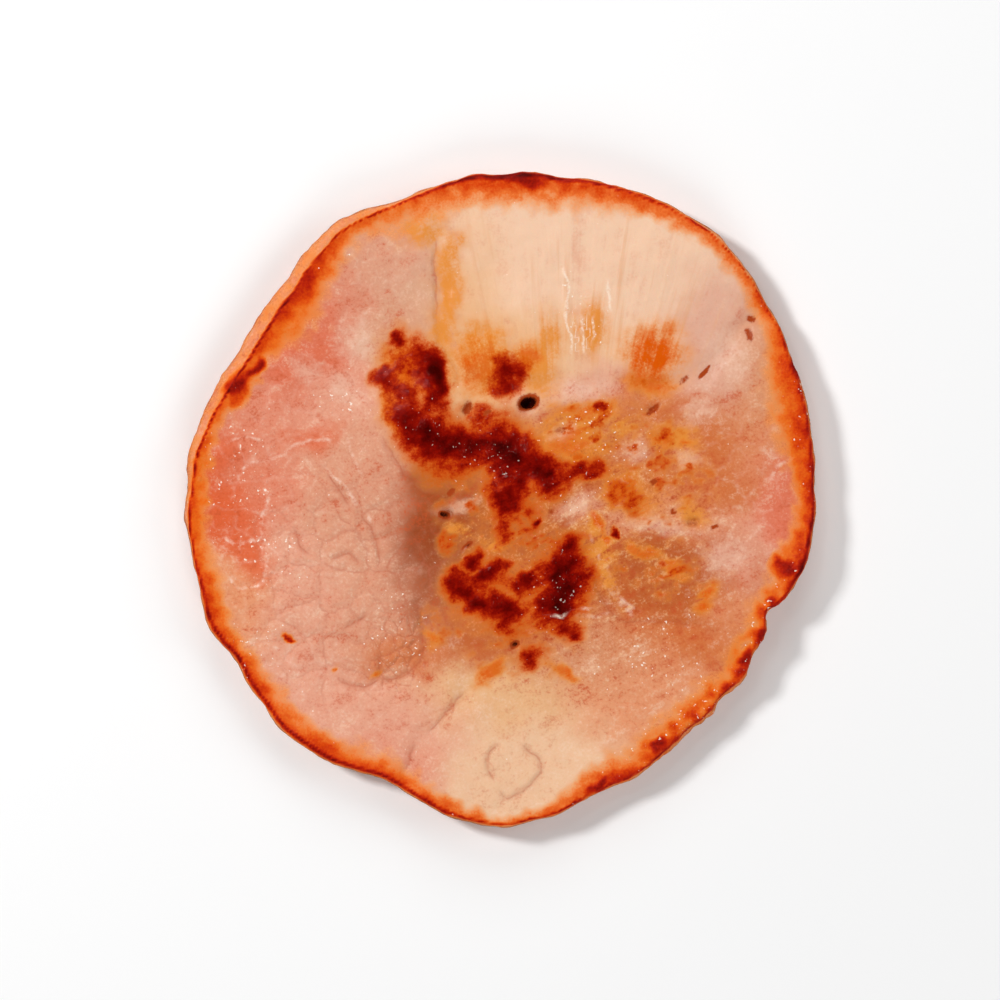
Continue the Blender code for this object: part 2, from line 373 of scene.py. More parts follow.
def oval(places, x, y, half_length, half_width, direction):
    """0 in the middle of an oval and 1 on its edge, as a squared distance."""
    turn = math.radians(direction)
    dx, dy = places[:, 0] - x, places[:, 1] - y
    along = (dx * math.cos(turn) + dy * math.sin(turn)) / half_length
    across = (dy * math.cos(turn) - dx * math.sin(turn)) / half_width
    return along**2 + across**2


def patch_field(places, patches, firmness=1.2):
    """1 in the patches and a half on their edges, where they run into each other too."""
    total = np.zeros(len(places))
    for patch in patches:
        total += np.exp(-0.7 * oval(places, *patch) ** firmness) ** 4
    return total**0.25


def warp(places, *swells):
    """Pushes places about in their plane, by so many millimetres in swells of that size."""
    moved = places.copy()
    for seed, (size, by) in enumerate(swells):
        moved[:, 0] += by * noise_at(places, size, 20 + seed)
        moved[:, 1] += by * noise_at(places, size, 30 + seed)
    return moved


# How brown the middle of each kind of patch is, and how brown a stain gets at the most.
BURNT_LEVEL = 0.94
SEARED_LEVEL = 0.77
STAINED_LEVEL = 0.58
DARKEST_STAIN = 0.66

ragged = warp(places, (3.2, 1.0), (1.4, 0.6), (0.6, 0.2))
burnt = uneven(BURNT_LEVEL, places, (0.14, 1.6, 42))
seared = uneven(SEARED_LEVEL, places, (0.18, 1.9, 43))
stained = np.clip(uneven(STAINED_LEVEL, places, (0.26, 1.8, 1), (0.2, 0.8, 44)), 0, DARKEST_STAIN)
scorch = np.maximum.reduce(
    [
        burnt * patch_field(ragged, BURNT, 1.5),
        seared * patch_field(ragged, SEARED, 1.5),
        stained * patch_field(ragged, STAINED, 1.2),
    ]
)
scorch += smooth_step(0.3, 0.6, scorch) * 0.1 * noise_at(places, 0.9, 21)
golden = patch_field(ragged, GOLDEN, 1.0)
orange = patch_field(ragged, ORANGE, 1.3)
filmy = patch_field(ragged, FILMY, 1.0) * facing_up
freckled = patch_field(ragged, FRECKLED, 1.3) * facing_up
gritty = np.exp(-(oval(places, 11, -6, 21, 20, 0) ** 2)) * facing_up
# Wet places: bump droplets and painted glints gather here.
wet = patch_field(places, WET_AND_GLINTS, 1.2) * (1 - facing_down)
webby = (0.15 + 0.85 * patch_field(places, WEBBY, 1.2)) * (1 - facing_down)

# The direction in which the skin is flaky, and how brown the wall is.
FLAKY_SIDE = 322
WALL_LEVEL = 0.24

skin_columns = list(zip(*SKIN))
line_inset, line_width, line_dark, band_reach, band_brown = [
    np.interp(degrees, skin_columns[0], column, period=360) for column in skin_columns[1:]
]
inside_line = from_outline - line_inset - 0.9 * drop + 0.1 * noise_at(places, 1.3, 5)
inward = np.maximum(uneven(inside_line, places, (0.6, 1.4, 2), (0.5, 4.5, 3)), 0)
band = uneven((band_brown - 0.02) * np.exp(-0.75 * (inward / band_reach) ** 1.7), places, (0.12, 1.6, 4))
edge_line = uneven(line_dark, places, (0.2, 1.7, 6)) * np.exp(-((inside_line / line_width) ** 2))
spots = 0.84 * patch_field(ragged, SPOTS)
wall_place = np.column_stack([degrees * 0.73, reach * 0, places[:, 2]])
wall = smooth_step(0.0, -0.35, inside_line) * (1 - facing_down)
wall_brown = uneven(WALL_LEVEL, wall_place, (0.14, (2.6, 1, 1.4), 7), (0.14, (0.9, 1, 0.6), 8))
stripe = drop - uneven(1.6, wall_place, (0.9, (4, 1, 4), 9))
wall_brown += 0.2 * np.exp(-((stripe / 0.3) ** 2))
crumbs = around(degrees, FLAKY_SIDE, 30) * np.exp(-((from_outline / 2.2) ** 2)) * noise_at(places, 1.5, 45)
band += 0.7 * crumbs
toast = np.maximum(np.where(inside_line > 0, band, 0) * top_share, edge_line)
toast = np.maximum(toast * (1 - wall) + wall_brown * wall, edge_line)
toast = np.maximum(toast, spots * top_share)
under_band = 0.6 * np.exp(-((np.maximum(from_under_edge, 0) / 2.0) ** 1.6))
toast = np.maximum(toast, facing_down * under_band)

under_place = warp(places, (5, 2.0), (1.6, 0.8))
under_scorch = uneven(0.3, under_place, (0.8, 9, 10), (0.25, 2.5, 11))
scorch = scorch * top_share * (1 - wall) + np.clip(under_scorch, 0, 0.95) * facing_down
golden *= top_share * (1 - wall)
orange *= top_share * (1 - wall)

# Muscle tones
# The lean is cream where its fibres lie flat and cooked through, pink to salmon where the cure shows, and
# tan or grey-brown near the scorches. Each bundle of muscle has its own tone, and they run into each other.

TONES = {
    "cream": (239, 198, 167),
    "dull cream": (214, 178, 158),
    "golden cream": (231, 178, 130),
    "pale pink": (227, 160, 133),
    "pink": (223, 136, 107),
    "rose": (221, 118, 88),
    "salmon": (220, 98, 56),
    "tan": (214, 144, 104),
    "beige": (219, 154, 124),
    "peach": (227, 150, 108),
    "ochre": (208, 114, 62),
    "grey-brown": (144, 62, 28),
    "brown-tan": (196, 100, 50),
    "wall": (229, 138, 96),
}

# Bundles: tone, middle x, y, half width in x, in y, and how firmly they hold their own tone.
BUNDLES = (
    ("cream", 13.0, 30.0, 17.0, 12.0, 1.0),
    ("cream", -1.0, 34.0, 7.0, 6.0, 1.0),
    ("golden cream", -4.0, 27.0, 5.0, 9.0, 1.2),
    ("golden cream", 3.0, 21.0, 10.0, 4.5, 1.2),
    ("pale pink", 28.5, 21.0, 5.5, 8.0, 1.3),
    ("dull cream", 28.5, 21.0, 5.5, 8.0, 0.9),
    ("tan", 34.0, 14.0, 4.5, 8.0, 3.2),
    ("pale pink", 13.0, 16.0, 6.0, 2.2, 0.8),
    ("beige", -16.0, 31.0, 8.0, 6.0, 1.0),
    ("tan", -13.0, 25.0, 6.0, 5.0, 1.0),
    ("dull cream", -13.0, 26.0, 7.0, 6.0, 0.5),
    ("pink", -22.0, 27.0, 5.0, 5.0, 1.0),
    ("rose", -27.0, 19.5, 5.5, 6.0, 4.0),
    ("salmon", -27.0, 19.5, 4.0, 4.8, 2.2),
    ("pale pink", -24.5, 13.5, 7.0, 4.5, 1.4),
    ("pink", -33.0, 10.0, 6.0, 4.5, 1.0),
    ("salmon", -36.0, 3.0, 4.0, 6.5, 1.2),
    ("pink", -30.0, 3.0, 5.0, 6.0, 1.4),
    ("salmon", -34.5, -1.0, 3.6, 3.8, 1.4),
    ("salmon", -33.5, -8.4, 2.6, 2.7, 1.6),
    ("salmon", -25.0, 8.6, 3.2, 1.6, 1.5),
    ("peach", -35.0, -15.0, 6.0, 6.0, 1.0),
    ("pale pink", -27.0, -12.0, 5.0, 7.0, 1.0),
    ("beige", -20.0, 3.0, 7.0, 8.0, 1.4),
    ("beige", -14.0, 2.0, 3.0, 6.0, 0.8),
    ("grey-brown", -8.8, -5.5, 5.2, 8.5, 1.6),
    ("grey-brown", -5.5, 1.0, 3.0, 3.0, 1.2),
    ("beige", -18.0, -14.0, 9.0, 8.0, 1.0),
    ("ochre", -13.0, -20.5, 5.0, 3.5, 1.2),
    ("pale pink", -27.0, -24.0, 8.0, 6.0, 1.0),
    ("pale pink", -12.5, -31.0, 7.0, 6.0, 1.0),
    ("pink", -14.0, -35.0, 6.0, 2.6, 1.0),
    ("golden cream", -1.0, -26.5, 9.0, 4.0, 1.2),
    ("golden cream", 3.0, -35.5, 10.0, 5.5, 0.6),
    ("cream", 3.0, -35.5, 10.0, 5.5, 0.8),
    ("peach", 20.0, -26.0, 9.0, 6.0, 1.0),
    ("tan", 13.0, -21.0, 7.0, 5.0, 1.0),
    ("ochre", 25.0, -16.5, 8.0, 5.0, 1.8),
    ("brown-tan", 22.5, -9.5, 7.5, 4.8, 9.0),
    ("brown-tan", 1.0, 0.0, 12.0, 8.0, 1.5),
    ("grey-brown", 0.5, -3.5, 6.0, 3.6, 0.7),
    ("brown-tan", 0.0, -14.0, 11.0, 7.0, 0.8),
    ("grey-brown", 22.5, -9.5, 6.0, 4.0, 2.2),
    ("ochre", 25.0, 7.0, 8.0, 6.5, 3.0),
    ("brown-tan", 25.0, 7.0, 5.0, 5.0, 1.0),
    ("peach", 21.0, -3.0, 8.0, 2.6, 1.3),
    ("peach", 9.5, -0.8, 2.8, 1.4, 1.5),
    ("ochre", 22.0, 13.0, 7.0, 3.0, 1.0),
    ("pale pink", 32.0, -7.0, 4.0, 5.0, 1.2),
    ("rose", 37.0, 2.0, 3.6, 7.5, 2.2),
    ("peach", 33.0, 9.0, 3.6, 5.0, 1.0),
    ("peach", 31.0, -15.0, 4.0, 4.0, 1.0),
)


def linear(red, green, blue):
    """A screen colour, 0 to 255 a channel, as the light that it stands for."""
    channels = np.array([red, green, blue]) / 255
    return np.where(channels <= 0.04045, channels / 12.92, ((channels + 0.055) / 1.055) ** 2.4)


def tone_field(places):
    """The colour of the lean at each place."""
    total = np.zeros((len(places), 3))
    weights = np.full(len(places), 1e-9)
    for tone, x, y, half_width, half_height, firmness in BUNDLES:
        weight = firmness * np.exp(-1.5 * oval(places, x, y, half_width, half_height, 0))
        total += weight[:, None] * linear(*TONES[tone])
        weights += weight
    return total / weights[:, None]


tone = tone_field(warp(places, (6, 2.6), (2.0, 1.0), (0.8, 0.4)))
under_share = np.clip(uneven(0.5, places, (1.2, 8, 12)), 0, 1)[:, None]
under_tone = linear(*TONES["tan"]) * under_share + linear(*TONES["peach"]) * (1 - under_share)
tone += facing_down[:, None] * (under_tone - tone)
tone += wall[:, None] * (linear(*TONES["wall"]) - tone)

# Seams, webs and pores
# Thin dark seams part the muscle bundles, with a band of painted shade along them, pale webs of connective
# tissue run between and round them, and a few stretched fibres stand up, with a painted highlight along them.
# Small pores and tears are where vessels and fat were, with painted shade in the darkest holes.

# Each is a smooth line through points, in millimetres.
SEAMS = (
    ((-8.5, 35.0), (-8.5, 26.9), (-8.0, 20.5), (-6.2, 17.4), (-5.2, 14.9)),
    ((-15.6, 8.5), (-13.8, 5.4), (-12.3, 2.1)),
    ((-10.8, -13.9), (-10.3, -19.6), (-11.3, -22.1), (-13.3, -23.5), (-15.4, -23.6), (-16.3, -20.1)),
    ((-21.7, -23.9), (-18.4, -24.9), (-15.4, -23.6)),
    ((-4.7, -25.2), (-7.2, -28.2), (-9.8, -31.0)),
    ((-11.4, -32.0), (-12.7, -36.3)),
    ((2.6, -32.4), (4.5, -33.8), (5.5, -35.3), (4.8, -37.1), (1.3, -39.4), (-0.3, -38.4)),
    ((-0.1, -32.0), (-1.6, -34.3), (-0.6, -37.4)),
    ((9.0, -3.5), (11.4, -7.1), (12.4, -10.1), (13.5, -12.9), (16.0, -15.8), (19.8, -16.0), (25.6, -16.5)),
    ((-27.6, -3.5), (-26.3, -6.3), (-24.8, -7.3)),
    ((-22.7, -8.3), (-20.2, -7.1), (-18.4, -8.8)),
    ((-16.4, -9.1), (-15.9, -7.3), (-16.9, -4.3), (-18.4, -2.0)),
    ((-23.0, 3.9), (-21.5, 1.4), (-19.7, -0.9)),
    ((-21.0, -17.3), (-19.2, -16.2), (-17.4, -15.2)),
)
WEBS = (
    ((-37.0, -4.3), (-35.3, -5.8), (-33.0, -5.4), (-31.7, -4.8), (-31.6, -2.5), (-30.9, -0.2), (-29.6, 1.4)),
    ((-31.7, -4.8), (-30.6, -6.4), (-28.6, -7.8)),
    ((-36.2, -9.9), (-35.5, -11.0), (-33.7, -11.6), (-31.9, -11.1), (-30.9, -9.1), (-30.9, -6.5)),
    ((-34.5, -19.3), (-31.9, -18.9), (-29.9, -19.8), (-28.4, -20.3)),
    ((-36.3, 7.5), (-33.7, 8.5), (-31.2, 7.9)),
    ((-34.7, 2.6), (-33.7, 4.4), (-29.6, 5.7), (-26.5, 7.5), (-21.8, 8.2)),
    ((-23.5, 4.7), (-21.0, 2.1), (-18.7, -0.7)),
    ((-20.5, 8.5), (-19.2, 4.9), (-18.2, 3.1)),
    ((-17.9, -1.4), (-16.6, -3.5)),
    ((-29.4, -23.6), (-27.6, -22.6)),
    ((14.4, -8.2), (15.0, -11.4), (16.6, -13.7), (18.6, -14.7)),
    ((11.6, -3.9), (13.6, -8.9), (14.6, -12.2), (17.6, -15.4)),
    ((35.9, 2.4), (36.4, 4.2), (38.4, 5.4), (39.7, 4.9)),
    ((38.7, -0.9), (40.2, -3.0)),
    ((9.6, -15.3), (12.3, -15.4), (14.8, -14.9)),
)
# Raised fibres, each with a painted highlight along it in the colour.
RIDGES_WITH_PAINTED_SHINE = (
    ((8.4, 31.2), (9.1, 27.6), (8.7, 24.6), (9.4, 21.8), (9.4, 19.0)),
    ((10.6, 24.8), (11.3, 19.0)),
    ((12.4, 24.6), (12.4, 20.7)),
    ((14.3, 29.5), (14.6, 24.5)),
    ((6.6, -15.2), (8.2, -15.5), (9.2, -14.9)),
    ((10.4, -14.6), (12.4, -14.3)),
)

# Pores and tears: middle x, y, half length, half width, direction, depth, how dark. Past about a half, the
# darkness is painted shade in the hole.
PORES = (
    (3.7, 12.9, 1.4, 1.05, 15, 0.0, 1.0),
    (-4.3, 12.2, 0.9, 0.6, 75, 0.0, 0.4),
    (-7.3, -2.0, 0.8, 0.5, -30, 0.1, 0.85),
    (25.6, -3.0, 1.1, 0.8, 10, 0.0, 0.2),
    (20.2, 12.0, 1.1, 0.4, 40, 0.0, 0.5),
    (2.0, -19.2, 0.7, 0.45, 50, 0.0, 0.8),
    (27.1, 16.9, 1.2, 0.3, 55, 0.06, 0.6),
    (24.4, 15.9, 0.9, 0.4, 20, 0.1, 0.3),
    (33.3, 24.1, 0.6, 0.4, -30, 0.05, 0.45),
    (33.1, 22.0, 1.0, 0.38, -80, 0.06, 0.5),
    (28.5, -3.7, 0.5, 0.3, 30, 0.1, 0.55),
    (8.0, 9.3, 0.8, 0.6, 20, 0.15, 0.25),
    (20.4, 2.4, 0.45, 0.35, 30, 0.1, 0.5),
    (22.9, -1.7, 0.5, 0.3, -40, 0.1, 0.5),
    (-4.4, -6.0, 0.9, 0.28, 25, 0.06, 0.75),
    (-6.4, 1.1, 0.6, 0.26, 35, 0.1, 0.5),
    (-1.8, 11.6, 0.4, 0.3, 0, 0.1, 0.6),
    (6.6, -1.6, 0.4, 0.3, 0, 0.1, 0.4),
)


def smooth_line(points):
    """The same line with its corners rounded, as more points."""
    points = np.array(points)
    ends = np.vstack([2 * points[0] - points[1], points, 2 * points[-1] - points[-2]])
    steps = np.linspace(0, 1, 6)[:-1, None]
    parts = []
    for before, start, end, after in zip(ends, ends[1:], ends[2:], ends[3:]):
        bend = 2 * before - 5 * start + 4 * end - after
        twist = 3 * (start - end) + after - before
        parts.append(start + 0.5 * ((end - before) * steps + bend * steps**2 + twist * steps**3))
    return np.vstack([*parts, points[-1:]])


def line_fields(places, lines):
    """How far off the nearest line each place is, minus on its right, and how strong the line is there."""
    gap = np.full(len(places), 9.0)
    strength = np.zeros(len(places))
    for points in map(smooth_line, lines):
        lengths = np.linalg.norm(np.diff(points, axis=0), axis=1)
        starts = np.concatenate([[0], np.cumsum(lengths)])
        for start, end, length, done in zip(points, points[1:], lengths, starts):
            off = places[:, :2] - start
            ahead = (end - start) / length
            along = np.clip(off @ ahead, 0, length)
            distance = np.linalg.norm(off - along[:, None] * ahead, axis=1)
            closer = distance < np.abs(gap)
            left = np.where(ahead[0] * off[:, 1] - ahead[1] * off[:, 0] > 0, 1, -1)
            gap = np.where(closer, left * distance, gap)
            ends = np.minimum(done + along, starts[-1] - done - along)
            strength = np.where(closer, smooth_step(-0.2, 1.2, ends), strength)
    return np.clip(gap, -1.6, 1.6), strength * smooth_step(1.3, 0.8, np.abs(gap))


wiggled = warp(places, (2.4, 0.35), (0.9, 0.16))
seam_gap, seam = line_fields(wiggled, SEAMS)
web_gap, web = line_fields(wiggled, WEBS)
ridge_gap, ridge = line_fields(wiggled, RIDGES_WITH_PAINTED_SHINE)
seam, web, ridge = seam * facing_up, web * facing_up, ridge * facing_up
pore = np.zeros(len(places))
pore_depth = np.zeros(len(places))
for *shape, depth, dark in PORES:
    inside = np.exp(-0.9 * oval(wiggled, *shape) ** 2)
    pore = np.maximum(pore, dark * inside)
    pore_depth = np.maximum(pore_depth, depth * inside)
pore *= 1 - facing_down
pore_depth *= facing_up

# Relief
# The face is wet and uneven: bundles stand up between their seams, long fibres lie side by side in the upper
# muscle, scorched crust is craggy, and the skin is crisp and flaky where it cooked hardest.

# All in millimetres.
RIDGE_HEIGHT = 0.07
SEAM_DEPTH = 0.06
LINE_WIDTH = 0.4
CRUST_RISE = 0.05

fan_across = np.arctan2(places[:, 0] - 8, places[:, 1] + 25) * 52
fibres = facing_up * np.exp(-((oval(places, 13, 28, 24, 16, 0)) ** 2)) * smooth_step(13, 18, places[:, 1])
tongue = facing_up * np.exp(-((oval(places, -13.5, -19.6, 4.2, 5.4, 0)) ** 2))
cells = facing_up * np.exp(-((oval(places, -19, -11, 15, 16, 0)) ** 2)) * (1 - tongue)
fan_place = np.column_stack([fan_across, places[:, 1], places[:, 2]])
crust = smooth_step(0.55, 0.85, np.maximum(scorch, toast)) * (1 - np.maximum(side_wall, wall))
crisp = around(degrees, FLAKY_SIDE, 28) * np.exp(-((from_outline / 2.6) ** 2)) * (1 - facing_down)
height = uneven(0, places, (0.14, 5, 12), (0.09, 2, 13), (0.03, 0.9, 14))
height += fibres * uneven(0, fan_place, (0.05, (1.0, 9, 9), 15))
height += crust * uneven(CRUST_RISE, places, (0.12, 1.0, 16))
height += crisp * uneven(0, places, (0.24, 1.5, 17), (0.14, 0.8, 18))
height += side_wall * uneven(uneven(0, wall_place, (0.12, (1.6, 1, 3), 19)), places, (0.06, 0.9, 20))
height += RIDGE_HEIGHT * ridge * np.exp(-((ridge_gap / LINE_WIDTH) ** 2))
height -= SEAM_DEPTH * seam * np.exp(-((seam_gap / LINE_WIDTH) ** 2)) + pore_depth
height *= 1 - 0.6 * facing_down
places += height[:, None] * normals
places[:, 2] = np.maximum(places[:, 2], 0)
fried_slice.data.vertices.foreach_set("co", (places * MM).ravel())
for face in fried_slice.data.polygons:
    face.use_smooth = True


def write_field(mesh, name, values):
    """Puts a number, or a colour, on each vertex for the material to read."""
    if values.ndim == 1:
        layer = mesh.attributes.new(name, "FLOAT", "POINT")
        layer.data.foreach_set("value", values)
    else:
        layer = mesh.attributes.new(name, "FLOAT_COLOR", "POINT")
        layer.data.foreach_set("color", np.column_stack([values, np.ones(len(values))]).ravel())


for name, values in {
    "tone": tone,
    "scorch": scorch,
    "golden": golden,
    "orange": orange,
    "filmy": filmy,
    "freckled": freckled,
    "gritty": gritty,
    "wet": wet,
    "webby": webby,
    "toast": toast,
    "seam_gap": seam_gap,
    "seam": seam,
    "web_gap": web_gap,
    "web": web,
    "ridge_gap": ridge_gap,
    "ridge": ridge,
    "pore": pore,
    "fan_across": fan_across,
    "fibres": fibres,
    "cells": cells,
    "tongue": tongue,
}.items():
    write_field(fried_slice.data, name, values)

# The finish of the meat
# Cooked lean is wet and a little see-through. Fine grain breaks up its tones, small brown freckles and grit
# lie along the grain, and browned meat is drier and rougher than the rest.


class Wire:
    """An output of a shader node. Sums and products of wires and numbers add Math nodes."""

    def __init__(self, tree, socket=None):
        self.tree = tree
        self.socket = socket

    def node(self, kind, settings, inputs, output=0):
        """Adds a node: its settings first, then a number, colour or wire for each socket."""
        made = self.tree.nodes.new("ShaderNode" + kind)
        for name, value in settings.items():
            if name == "stops":
                self.set_stops(made.color_ramp, value)
            else:
                setattr(made, name, value)
        for name, value in inputs.items():
            if isinstance(value, Wire):
                self.tree.links.new(value.socket, made.inputs[name])
            else:
                made.inputs[name].default_value = value
        return Wire(self.tree, made.outputs[output])

    def set_stops(self, ramp, stops):
        while len(ramp.elements) < len(stops):
            ramp.elements.new(1)
        for element, (position, colour) in zip(ramp.elements, stops):
            element.position = position
            element.color = colour

    def math(self, operation, *values):
        return self.node("Math", {"operation": operation}, dict(enumerate(values)))

    def __add__(self, other):
        return self.math("ADD", self, other)

    def __sub__(self, other):
        return self.math("SUBTRACT", self, other)

    def __rsub__(self, other):
        return self.math("SUBTRACT", other, self)

    def __mul__(self, other):
        return self.math("MULTIPLY", self, other)

    def larger(self, other):
        return self.math("MAXIMUM", self, other)

    def between(self, low, high):
        """0 at low, 1 at high and a smooth rise between them."""
        span = {"interpolation_type": "SMOOTHSTEP"}
        return self.node("MapRange", span, {"Value": self, "From Min": low, "From Max": high})

    __radd__ = __add__


def field(wires, name, output="Fac"):
    return wires.node("Attribute", {"attribute_name": name}, {}, output)


def mixed(share, colour, other):
    """One colour turning into another as the share goes from 0 to 1."""
    return share.node("Mix", {"data_type": "RGBA"}, {0: share, 6: colour, 7: other}, 2)


def vectors(operation, *values):
    """A sum or product of vectors, the first of which is a wire."""
    return values[0].node("VectorMath", {"operation": operation}, dict(enumerate(values)))


def turned_and_stretched(place, degrees, factors):
    spin = {"rotation_type": "Z_AXIS"}
    turned = place.node("VectorRotate", spin, {"Vector": place, "Angle": math.radians(degrees)})
    return vectors("MULTIPLY", turned, factors)


def grain(place, fineness, detail, roughness=0.5):
    """Noise about 0, with that many swells to a millimetre."""
    sockets = {"Vector": place, "Scale": fineness, "Detail": detail, "Roughness": roughness}
    return place.node("TexNoise", {}, sockets) - 0.5


def cell_gap(flat, fineness, cell_width):
    """How far off the edge of its cell each place is, in millimetres, with so many cells to a millimetre."""
    kind = {"feature": "DISTANCE_TO_EDGE", "voronoi_dimensions": "2D"}
    return flat.node("TexVoronoi", kind, {"Vector": flat, "Scale": fineness}) * cell_width


def cell_tone(flat, fineness):
    """A number about 0 for each cell."""
    sockets = {"Vector": flat, "Scale": fineness}
    return flat.node("TexVoronoi", {"voronoi_dimensions": "2D"}, sockets, "Color") - 0.5


def line(wires, name, half_width, jitter):
    """A thin line from the fields that say how far off it is and how strong."""
    gap = field(wires, name + "_gap") + jitter
    return gap.math("ABSOLUTE", gap).between(half_width, 0) * field(wires, name)


def screen(red, green, blue, alpha=1.0):
    return (*linear(red, green, blue), alpha)


PALE_LEAN = screen(244, 208, 180)
RUDDY_LEAN = screen(200, 86, 48)
TAN_FIBRE = screen(222, 160, 116)
CELL_SEAM = screen(186, 100, 74)
TONGUE_SEAM = screen(182, 92, 60)
FINE_WEB = screen(248, 214, 194)
THICK_WEB = screen(247, 214, 194)
# Dark seam lines, and the painted shade along their grooves.
DARK_SEAM_AND_SHADE = screen(176, 78, 48)
YELLOW_FAT = screen(226, 140, 56)
LIGHT_ORANGE = screen(228, 138, 50)
DEEP_ORANGE = screen(218, 88, 6)
LIGHT_GRIT = screen(246, 192, 134)
DARK_GRIT = screen(166, 64, 20)
PALE_FILM = screen(238, 198, 174)
BROWN_SPECK = screen(196, 84, 40)
# Painted glints, and a painted highlight for the raised fibres.
PAINTED_GLINT_WHITE = screen(255, 240, 224)
PAINTED_RIDGE_HIGHLIGHT = screen(252, 232, 212)
PORE_LIP = screen(168, 66, 26)
# Painted shade in the darkest pores.
PAINTED_PORE_SHADE = screen(44, 3, 2)

# Brownings: how far it went, and the colour there with how much of it shows.
SCORCH_STOPS = (
    (0.12, screen(226, 160, 100, 0.0)),
    (0.26, screen(222, 138, 62, 0.28)),
    (0.38, screen(214, 106, 28, 0.62)),
    (0.50, screen(202, 76, 12, 0.92)),
    (0.62, screen(174, 38, 6, 1.0)),
    (0.74, screen(138, 13, 3, 1.0)),
    (0.87, screen(104, 5, 2, 1.0)),
    (1.00, screen(62, 2, 1, 1.0)),
)
TOAST_STOPS = (
    (0.14, screen(234, 150, 84, 0.0)),
    (0.28, screen(236, 138, 52, 0.62)),
    (0.42, screen(232, 106, 14, 0.94)),
    (0.56, screen(216, 68, 3, 1.0)),
    (0.70, screen(182, 30, 2, 1.0)),
    (0.84, screen(134, 11, 3, 1.0)),
    (1.00, screen(84, 6, 3, 1.0)),
)


def browned(colour, amount, stops):
    """Lays a browning over a colour: the ramp's opacity says how much of it shows."""
    ramp = amount.node("ValToRGB", {"stops": stops}, {"Fac": amount})
    return mixed(Wire(ramp.tree, ramp.socket.node.outputs["Alpha"]), colour, ramp)


